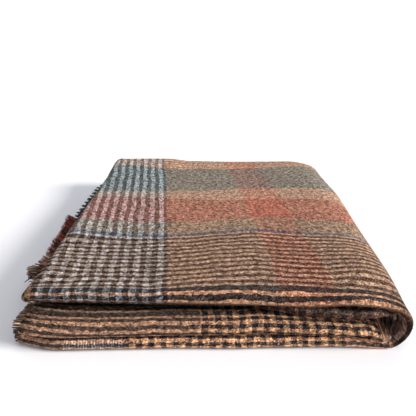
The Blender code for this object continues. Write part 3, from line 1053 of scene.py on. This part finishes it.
def wool_nap(middle, thick, flat, path, wool):
    """Loose fibres that stand out of the brushed face, in the cloth's own dyes."""
    chance = np.random.default_rng(NAP_SEED)
    rows, columns = middle.shape[:2]
    lengths = np.linalg.norm(np.diff(middle, axis=0), axis=2)[:, :-1]
    widths = np.linalg.norm(np.diff(middle, axis=1), axis=2)[:-1]
    parts = np.array([NAP_PLACES.get(part, 0.0) for part, _ in path])[:-1, None]
    weight = (lengths * widths * parts).ravel()
    cell = chance.choice(weight.size, NAP_COUNT, p=weight / weight.sum())
    row, column = np.divmod(cell, columns - 1)
    u, v = chance.random((2, NAP_COUNT, 1))

    def between(grid):
        near = mix(grid[row, column], grid[row + 1, column], u)
        far = mix(grid[row, column + 1], grid[row + 1, column + 1], u)
        return mix(near, far, v)

    normal = sheet_normals(middle)
    top = [k for k, (part, _) in enumerate(path) if part == "run3"][NAP_TOP_LINE]
    out = between(normal) * np.sign(normal[top, columns // 2, 2])
    root = between(middle) + out * (thick / 2 - NAP_ROOT)
    lie = chance.normal(0, 1, (NAP_COUNT, 3))
    rise = chance.uniform(*NAP_RISE, (NAP_COUNT, 1))
    lean = out * rise + lie / np.linalg.norm(lie, axis=1, keepdims=True)
    lean += out * np.maximum(NAP_LEAST_RISE - (lean * out).sum(1, keepdims=True), 0)
    lean /= np.linalg.norm(lean, axis=1, keepdims=True)
    tip = root + lean * chance.uniform(*NAP_LENGTH, (NAP_COUNT, 1))
    side = np.cross(lean, lie)
    side /= np.linalg.norm(side, axis=1, keepdims=True)
    up = np.cross(side, lean)
    foot = [root + NAP_RADIUS * (np.cos(a) * side + np.sin(a) * up) for a in np.radians((0, 120, 240))]
    points = np.stack([*foot, tip], 1)
    points[..., 2] = np.maximum(points[..., 2], FLOOR_CLEAR)
    corners = np.array(((0, 2, 1), (0, 1, 3), (1, 2, 3), (2, 0, 3)))
    faces = (np.arange(NAP_COUNT)[:, None, None] * 4 + corners).reshape(-1, 3)
    data = bpy.data.meshes.new("wool_nap")
    data.from_pydata(into_frame(points.reshape(-1, 3)).tolist(), [], faces.tolist())
    chart = data.uv_layers.new(name="flat")
    chart.data.foreach_set("uv", np.repeat(between(flat), corners.size, axis=0).ravel())
    piece = finished("wool_nap", data)
    piece.data.materials.append(wool)
    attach(piece, "root")
    return piece


def folded_cloth():
    """The sheet in its folds, with its fringes and nap."""
    path = stations(PATH_STEPS, {})
    across = stations(SECTION_STEPS, {"outer_layer": "end", "wrap": "start"})
    middle = sheet_grid(path, across)
    flat, size = flat_places(path, across, middle)
    piece = closed_sheet("throw_cloth", middle, CLOTH, flat, painted_fold_shade(path, across, middle))
    wool = plaid_material()
    piece.data.materials.append(wool)
    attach(piece, "root")
    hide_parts("folded_cloth")
    upper = fringe("upper_end_yarns", 1, UPPER_FRINGE, UPPER_DYES, [LOOSE_YARN])
    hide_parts("upper_end_fringe")
    lower = fringe("lower_end_yarns", 0, LOWER_FRINGE, LOWER_DYES)
    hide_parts("lower_end_fringe")
    nap = wool_nap(middle, CLOTH, flat, path, wool)


def camera_and_lights():
    """The photo's view and its light."""
    scene = bpy.context.scene
    lens = bpy.data.cameras.new("camera")
    lens.sensor_width = FILM_WIDTH
    lens.lens = FILM_WIDTH * FOCAL_PIXELS / PICTURE_PIXELS
    camera = bpy.data.objects.new("camera", lens)
    scene.collection.objects.link(camera)
    camera.location = into_frame(np.array(CAMERA_PLACE))
    camera.rotation_euler = np.radians((90 - CAMERA_PITCH, 0, CAMERA_YAW))
    scene.camera = camera
    scene.view_settings.view_transform = "Standard"
    sun = bpy.data.lights.new("window_light", "SUN")
    sun.energy = SUN_STRENGTH
    sun.angle = np.radians(SUN_SPREAD)
    sun.color = SUN_COLOR
    light = bpy.data.objects.new("window_light", sun)
    scene.collection.objects.link(light)
    light.rotation_euler = Vector(SUN_FROM).to_track_quat("Z", "Y").to_euler()
    world = bpy.data.worlds.new("room")
    world.use_nodes = True
    sky = world.node_tree.nodes["Background"]
    sky.inputs["Color"].default_value = ROOM_COLOR
    sky.inputs["Strength"].default_value = ROOM_STRENGTH
    scene.world = world


def pale_floor():
    """A white floor that runs back to a lit white wall."""
    bpy.ops.object.select_all(action="DESELECT")
    bpy.ops.mesh.primitive_plane_add(size=FLOOR_SIZE, location=(0, 0, 0))
    floor = bpy.context.object
    floor.name = "floor"
    made, shader, _ = new_material("pale_paper")
    shader.inputs["Base Color"].default_value = FLOOR_COLOR
    shader.inputs["Roughness"].default_value = FLOOR_ROUGHNESS
    shader.inputs["Specular IOR Level"].default_value = FLOOR_SHINE
    floor.data.materials.append(made)
    bpy.ops.object.select_all(action="DESELECT")
    bpy.ops.mesh.primitive_plane_add(
        size=FLOOR_SIZE, location=(0, FLOOR_SIZE / 2, 0), rotation=(np.pi / 2, 0, 0)
    )
    wall = bpy.context.object
    wall.name = "white_wall"
    made, shader, _ = new_material("lit_wall")
    shader.inputs["Base Color"].default_value = WALL_COLOR
    shader.inputs["Emission Color"].default_value = (1, 1, 1, 1)
    shader.inputs["Emission Strength"].default_value = WALL_GLOW
    wall.data.materials.append(made)


folded_cloth()
pale_floor()
camera_and_lights()
